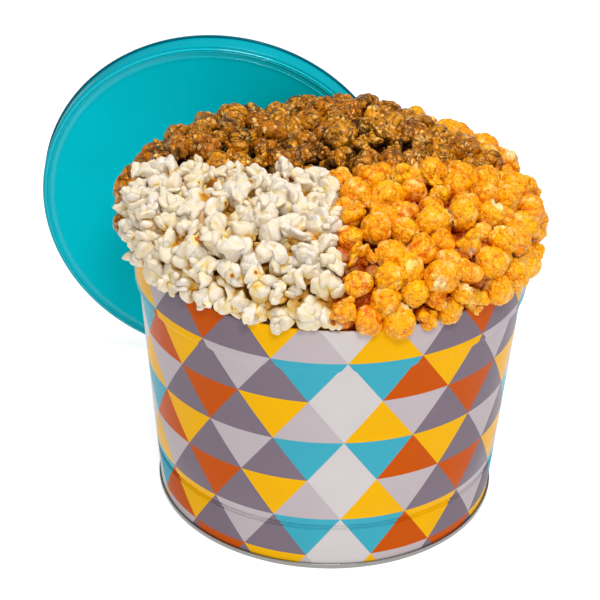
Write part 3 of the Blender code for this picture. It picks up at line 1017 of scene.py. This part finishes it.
def cheese_material(name, shade):
    s = Shader(name)
    crease = s.attribute("crease")
    pale = s.attribute("extra")
    tone = s.attribute("tone")
    body = s.mix(tone, srgb(255, 182, 0), srgb(253, 160, 0))
    shaken = warped(s, 300.0, 0.0022)
    ridge = s.lines(240.0, 0.045, shaken)
    net = s.voronoi(310.0, "DISTANCE_TO_EDGE", vector=shaken)
    pit = s.times(s.grey_ramp(net, [(0.02, 1.0), (0.16, 0.0)]),
                  s.grey_ramp(s.noise(120.0, 2.0), [(0.38, 0.15), (0.62, 1.0)]))
    # Painted shade: darker orange in creases, at deep points and in the pits of the cell net.
    dark = s.math("MAXIMUM", s.rise(crease, 0.22, 0.75), s.times(pit, 0.80))
    colour = s.mix(s.times(dark, 0.85), body, srgb(206, 70, 0))
    # Painted highlight: paler yellow lines along the crinkle ridges.
    colour = s.mix(s.times(ridge, 0.50), colour, srgb(255, 206, 66))
    # Paler patches: partly uneven cheese powder, partly painted highlight.
    light = s.rise(s.noise(130.0, 3.0, 0.55), 0.55, 0.68, 0.65)
    colour = s.mix(light, colour, srgb(255, 224, 134))
    colour = s.mix(s.rise(pale, 0.30, 0.90, 0.85), colour, srgb(255, 234, 176))
    # Painted shade over the lower layer's pieces.
    colour = s.mix(shade, colour, srgb(150, 24, 0))
    powder = s.noise(1500.0, 3.0, 0.6)
    height = s.plus(s.times(powder, 0.12), s.times(ridge, 0.75))
    height = s.minus(height, s.times(pit, 0.60))
    s.set(Base_Color=colour, Roughness=0.28, Specular_IOR_Level=0.36, Specular_Tint=(1.0, 0.86, 0.55, 1.0))
    s.set(Subsurface_Weight=0.25, Subsurface_Radius=(1.0, 0.50, 0.10), Subsurface_Scale=0.002)
    s.set(Normal=s.bump(height, 0.0012, 0.60))
    return s.material


def warped(s, scale, amount):
    """Object coordinates shaken by noise, so that cell patterns look grown, not drawn."""
    shake = s.noise(scale, 2.0, output="Color")
    scaled = s.node("ShaderNodeVectorMath", {0: shake, "Scale": amount}, operation="SCALE")
    total = s.node("ShaderNodeVectorMath", {0: s.coords(), 1: scaled.outputs[0]}, operation="ADD")
    return total.outputs[0]


def caramel_material(name, shade):
    s = Shader(name)
    crease = s.attribute("crease")
    pale = s.attribute("extra")
    tone = s.attribute("tone")
    shaken = warped(s, 200.0, 0.0045)
    dome = s.voronoi(165.0, "F1", vector=shaken)
    net = s.voronoi(165.0, "DISTANCE_TO_EDGE", vector=shaken)
    amber = s.mix(tone, srgb(230, 152, 20), srgb(190, 108, 6))
    # Painted highlight: pale spots on the tops of the domes.
    top = s.grey_ramp(dome, [(0.16, 1.0), (0.40, 0.0)])
    lively = s.grey_ramp(s.noise(190.0, 3.0, 0.6), [(0.44, 0.05), (0.56, 1.0)])
    colour = s.mix(s.times(top, lively), amber, srgb(255, 220, 138))
    blotch = s.noise(120.0, 3.0, 0.6)
    colour = s.mix(s.rise(blotch, 0.46, 0.62, 0.55), colour, srgb(110, 44, 0))
    seam = s.times(s.grey_ramp(net, [(0.02, 1.0), (0.14, 0.0)]),
                   s.grey_ramp(s.noise(110.0, 2.0), [(0.40, 0.10), (0.58, 1.0)]))
    # Painted shade: creases and deep points turn dark brown; the seams along the cell edges are drawn as dark
    # lines too.
    dark = s.math("MAXIMUM", s.rise(crease, 0.16, 0.62), s.times(seam, 0.85))
    colour = s.mix(s.times(dark, 0.95), colour, srgb(54, 18, 0))
    colour = s.mix(s.rise(pale, 0.35, 0.90, 0.80), colour, srgb(252, 202, 112))
    # Painted highlight: pale lines along the ridges.
    ridge = s.lines(150.0, 0.050, shaken)
    colour = s.mix(s.times(ridge, 0.20), colour, srgb(255, 196, 96))
    height = s.minus(s.times(s.noise(600.0, 2.0, 0.5), 0.15), s.times(dome, 1.4))
    height = s.plus(height, s.times(ridge, 0.35))
    # Painted shade over the lower layer's pieces.
    colour = s.mix(shade, colour, srgb(40, 13, 0))
    s.set(Base_Color=colour, IOR=1.5, Specular_IOR_Level=0.50, Specular_Tint=(1.0, 0.78, 0.44, 1.0))
    s.set(Roughness=s.grey_ramp(s.noise(300.0, 3.0), [(0.35, 0.08), (0.70, 0.20)]))
    s.set(Subsurface_Weight=0.10, Subsurface_Radius=(1.0, 0.45, 0.10), Subsurface_Scale=0.002)
    s.set(Normal=s.bump(height, 0.0016, 1.0))
    return s.material


def core_material(name, light, dark):
    s = Shader(name)
    lump = s.voronoi(150.0, "SMOOTH_F1")
    tone = s.noise(90.0, 4.0, 0.6)
    colour = s.mix(s.rise(lump, 0.15, 0.70), light, dark)
    colour = s.mix(s.rise(tone, 0.4, 0.7, 0.5), colour, dark)
    s.set(Base_Color=colour, Roughness=0.7, Normal=s.bump(lump, 0.003, 0.8))
    return s.material


def assign(item, material):
    item.data.materials.clear()
    item.data.materials.append(material)


# Stage: pale floor, soft light, camera.

def make_stage():
    mesh = bpy.data.meshes.new("floor")
    reach = 6.0
    z = FLOOR - 0.0002
    corners = [(-reach, -reach, z), (reach, -reach, z), (reach, reach, z), (-reach, reach, z)]
    mesh.from_pydata(corners, [], [(0, 1, 2, 3)])
    floor = link_object("floor", mesh)
    s = Shader("floor_white")
    grain = s.rise(s.noise(400.0, 2.0), 0.3, 0.7)
    s.set(Base_Color=s.mix(grain, (0.44, 0.44, 0.44, 1.0), (0.46, 0.46, 0.46, 1.0)))
    s.set(Roughness=0.9, Emission_Color=(1.0, 1.0, 1.0, 1.0), Emission_Strength=0.85)
    assign(floor, s.material)

    world = bpy.data.worlds.new("studio")
    bpy.context.scene.world = world
    world.use_nodes = True
    background = world.node_tree.nodes["Background"]
    background.inputs["Color"].default_value = (1.0, 1.0, 1.0, 1.0)
    background.inputs["Strength"].default_value = 0.25

    # Each light's name, place, width and power.
    lights = (
        ("key", (0.10, -1.15, 1.25), 0.30, 9.5),
        ("fill", (0.95, -0.60, 1.20), 0.90, 2.4),
        ("top", (0.10, -0.15, 1.60), 0.70, 15.0),
    )
    for name, place, width, power in lights:
        data = bpy.data.lights.new(name, "AREA")
        data.shape = "DISK"
        data.size = width
        data.energy = power
        item = link_object(name, data)
        item.location = place
        aim = Vector((0.0, 0.0, 0.14)) - Vector(place)
        item.rotation_euler = aim.to_track_quat("-Z", "Y").to_euler()


def make_camera():
    back = Vector((0.0, -math.cos(CAM_ELEVATION), math.sin(CAM_ELEVATION)))
    right = Vector((1.0, 0.0, 0.0))
    up = back.cross(right)
    roll_right = right * math.cos(CAM_ROLL) + up * math.sin(CAM_ROLL)
    roll_up = up * math.cos(CAM_ROLL) - right * math.sin(CAM_ROLL)
    matrix = Matrix((roll_right, roll_up, back)).transposed().to_4x4()
    data = bpy.data.cameras.new("camera")
    data.sensor_fit = "HORIZONTAL"
    data.sensor_width = 36.0
    data.lens = CAM_LENS
    data.clip_start = 0.05
    data.clip_end = 30.0
    camera = link_object("camera", data)
    camera.matrix_world = Matrix.Translation(CAM_TARGET + back * CAM_DISTANCE) @ matrix
    bpy.context.scene.camera = camera


def main():
    bpy.context.scene.view_settings.view_transform = "Standard"
    bpy.context.scene.view_settings.look = "None"
    make_camera()
    make_stage()

    printed = print_material()
    silver = bare_metal("bare_tinplate", srgb(205, 203, 198), 0.24)
    dull_silver = bare_metal("foot_tinplate", srgb(152, 150, 148), 0.30)
    teal = (srgb(0, 186, 201), srgb(0, 190, 206))
    # Painted shade: the skirt, which faces up, is a deeper teal than the panel.
    shaded_side_teal = (srgb(0, 160, 175), srgb(0, 164, 180))
    # Painted shade: the curled hem is a dark teal, a dark outline round the lid.
    shadow_teal = (srgb(0, 92, 108), srgb(0, 100, 116))
    enamel = enamel_material("teal_enamel", teal, 0.0, 0.02)
    gloss = enamel_material("teal_enamel_beads", teal, 0.10, 0.35)
    side = enamel_material("teal_enamel_side_painted_shade", shaded_side_teal, 0.05, 0.05)
    dark = enamel_material("teal_enamel_hem_painted_shadow", shadow_teal, 0.05, 0.05)
    # The deep copies of each material carry painted shade for the lower layers.
    corn = {
        "white": white_material("white_popcorn", 0.0),
        "white_small": white_material("white_popcorn_painted_shade", 0.50),
        "cheddar": cheese_material("cheese_popcorn", 0.0),
        "cheddar_small": cheese_material("cheese_popcorn_painted_shade", 0.60),
        "caramel": caramel_material("caramel_popcorn", 0.0),
        "caramel_small": caramel_material("caramel_popcorn_painted_shade", 0.80),
    }
    # The cores are coloured dark: painted shade for the depth of the heap, seen through the gaps between
    # pieces.
    cores = {
        "white": core_material("white_core_painted_shade", srgb(150, 102, 24), srgb(92, 56, 8)),
        "cheddar": core_material("cheese_core_painted_shade", srgb(150, 66, 4), srgb(84, 32, 2)),
        "caramel": core_material("caramel_core_painted_shade", srgb(74, 38, 12), srgb(40, 18, 5)),
    }
    slots = {"white": "white_corn", "cheddar": "cheese_corn", "caramel": "caramel_corn"}

    wall, rim = make_tin()
    foot = make_base()
    face, beads, skirt, hem, lining = make_lid()
    dressed = [
        (wall, printed, "tin_body", "printed_sheet"),
        (rim, silver, "tin_body", "bare_sheet"),
        (foot, dull_silver, "tin_base", "bare_sheet"),
        (face, enamel, "lid", "lid_paint"),
        (beads, gloss, "lid", "lid_paint"),
        (skirt, side, "lid", "lid_paint"),
        (hem, dark, "lid", "lid_paint"),
        (lining, silver, "lid", "bare_sheet"),
    ]
    for index, kind in enumerate(KIND_NAMES):
        dressed.append((make_core(index), cores[kind], "popcorn_" + kind, slots[kind]))
    for key, item in make_heaps().items():
        kind = key.split("_")[0]
        dressed.append((item, corn[key], "popcorn_" + kind, slots[kind]))
    for item, material, node, slot in dressed:
        assign(item, material)
        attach(item, "root")
        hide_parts(node)


main()
